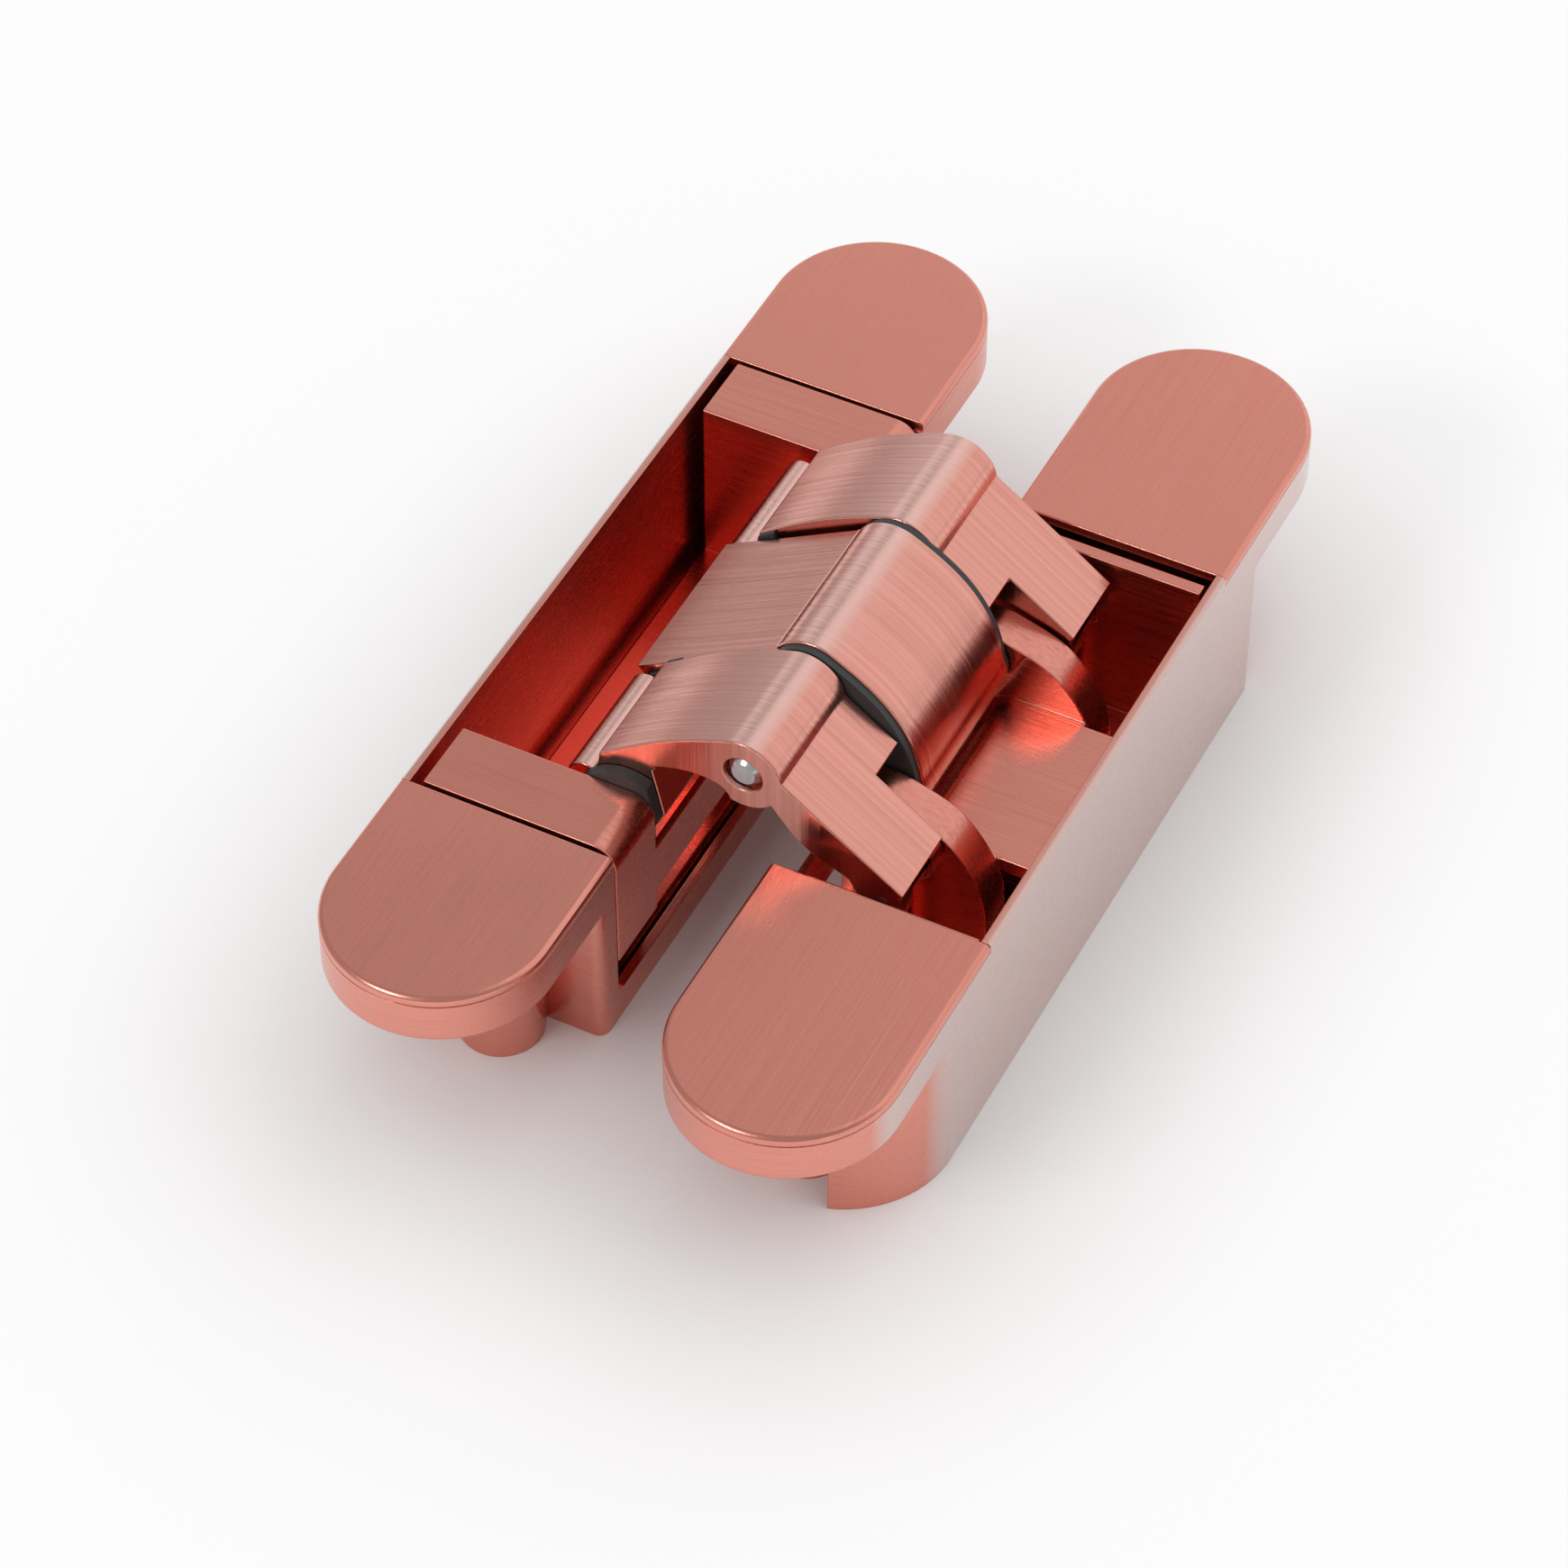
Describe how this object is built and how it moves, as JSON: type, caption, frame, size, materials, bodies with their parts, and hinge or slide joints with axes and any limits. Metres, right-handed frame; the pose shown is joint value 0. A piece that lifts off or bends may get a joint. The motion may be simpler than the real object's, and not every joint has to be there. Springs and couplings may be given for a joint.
{
  "type": "concealed door hinge",
  "caption": "Concealed door hinge with round-ended leaves, forked curved link arms folding into deep pockets, and cover plates.",
  "frame": {"origin": "floor level under the middle of the unfolded hinge, midway between the leaves", "axes": "+X from the left leaf to the right leaf, +Y along the leaves, +Z out of their faces"},
  "size_m": [0.0724, 0.14, 0.0415],
  "materials": {
    "satin_copper": "brushed satin copper",
    "pin_steel": "turned steel",
    "dark_plastic": "dark grey low-friction plastic",
    "bush_bronze": "sintered bronze",
    "zinc_screw": "zinc plated"
  },
  "bodies": {
    "left_casing_body": {"left_casing": "satin_copper", "left_cover_lower": "satin_copper", "left_cover_upper": "satin_copper"},
    "left_carrier_body": {"left_carrier": "satin_copper", "left_pivot_pin": "pin_steel", "left_link_pin": "pin_steel", "left_side_spacers": "dark_plastic"},
    "depth_screw_near": {"left_depth_screw_lower": "zinc_screw"},
    "depth_screw_far": {"left_depth_screw_upper": "zinc_screw"},
    "outer_legs": {"outer_leg_lower": "satin_copper", "outer_leg_upper": "satin_copper", "centre_pin": "pin_steel", "leg_pivot_bushes": "bush_bronze", "leg_tail_pins": "pin_steel", "leg_inner_spacers": "dark_plastic"},
    "middle_arm_body": {"middle_arm": "satin_copper", "centre_bushes": "bush_bronze", "middle_tail_pin": "pin_steel", "middle_pivot_bushes": "bush_bronze", "arm_side_spacers": "dark_plastic"},
    "left_link": {"left_control_link": "satin_copper"},
    "right_links": {"right_link_lower": "satin_copper", "right_link_upper": "satin_copper"},
    "right_carrier_body": {"right_carrier": "satin_copper", "right_pivot_pin": "pin_steel", "right_link_pins": "pin_steel"},
    "right_casing_body": {"right_casing": "satin_copper", "right_cover_lower": "satin_copper", "right_cover_upper": "satin_copper"},
    "height_cam_near": {"right_height_cam_lower": "zinc_screw"},
    "height_cam_far": {"right_height_cam_upper": "zinc_screw"}
  },
  "joints": [
    {"name": "depth_slide", "type": "slide", "parent": "left_casing_body", "child": "left_carrier_body", "axis": [0, 0, 1], "range_m": [-0.001, 0.001]},
    {"name": "depth_screw_near_turn", "type": "hinge", "parent": "left_casing_body", "child": "depth_screw_near", "pos_m": [-0.0202, -0.0473, 0.0165], "axis": [0, 0, 1], "range_deg": [-361, 361]},
    {"name": "depth_screw_far_turn", "type": "hinge", "parent": "left_casing_body", "child": "depth_screw_far", "pos_m": [-0.0202, 0.0473, 0.0165], "axis": [0, 0, 1], "range_deg": [-361, 361]},
    {"name": "fold", "type": "hinge", "parent": "left_carrier_body", "child": "outer_legs", "pos_m": [-0.0123, 0, 0.0235], "axis": [0, -1, 0], "range_deg": [0, 110.7]},
    {"name": "centre_pivot", "type": "hinge", "parent": "outer_legs", "child": "middle_arm_body", "pos_m": [0.0024, 0, 0.0361], "axis": [0, -1, 0], "range_deg": [-45.3, 0.1]},
    {"name": "left_link_pivot", "type": "hinge", "parent": "middle_arm_body", "child": "left_link", "pos_m": [-0.01734, 0, 0.02496], "axis": [0, -1, 0], "range_deg": [-0.1, 53.1]},
    {"name": "right_link_pivot", "type": "hinge", "parent": "outer_legs", "child": "right_links", "pos_m": [0.02032, 0, 0.02309], "axis": [0, -1, 0], "range_deg": [-38.7, 0.1]},
    {"name": "right_leaf_pivot", "type": "hinge", "parent": "middle_arm_body", "child": "right_carrier_body", "pos_m": [0.0133, 0, 0.0235], "axis": [0, -1, 0], "range_deg": [-0.1, 114.6]},
    {"name": "height_slide", "type": "slide", "parent": "right_carrier_body", "child": "right_casing_body", "axis": [0, 1, 0], "range_m": [-0.001, 0.001]},
    {"name": "height_cam_near_turn", "type": "hinge", "parent": "right_casing_body", "child": "height_cam_near", "pos_m": [0.0202, -0.0473, 0.0165], "axis": [0, 0, 1], "range_deg": [-42, 42]},
    {"name": "height_cam_far_turn", "type": "hinge", "parent": "right_casing_body", "child": "height_cam_far", "pos_m": [0.0202, 0.0473, 0.0165], "axis": [0, 0, 1], "range_deg": [-42, 42]}
  ],
  "couplings": [
    {"joint": "depth_screw_near_turn", "follows": "depth_slide", "rad_per_m": 6283.2},
    {"joint": "depth_screw_far_turn", "follows": "depth_slide", "rad_per_m": 6283.2},
    {"joint": "centre_pivot", "follows": "fold", "ratio": -0.408},
    {"joint": "left_link_pivot", "follows": "fold", "ratio": 0.47773},
    {"joint": "right_link_pivot", "follows": "fold", "ratio": -0.34793},
    {"joint": "right_leaf_pivot", "follows": "fold", "ratio": 1.034},
    {"joint": "height_cam_near_turn", "follows": "height_slide", "rad_per_m": -729.7},
    {"joint": "height_cam_far_turn", "follows": "height_slide", "rad_per_m": -729.7}
  ]
}
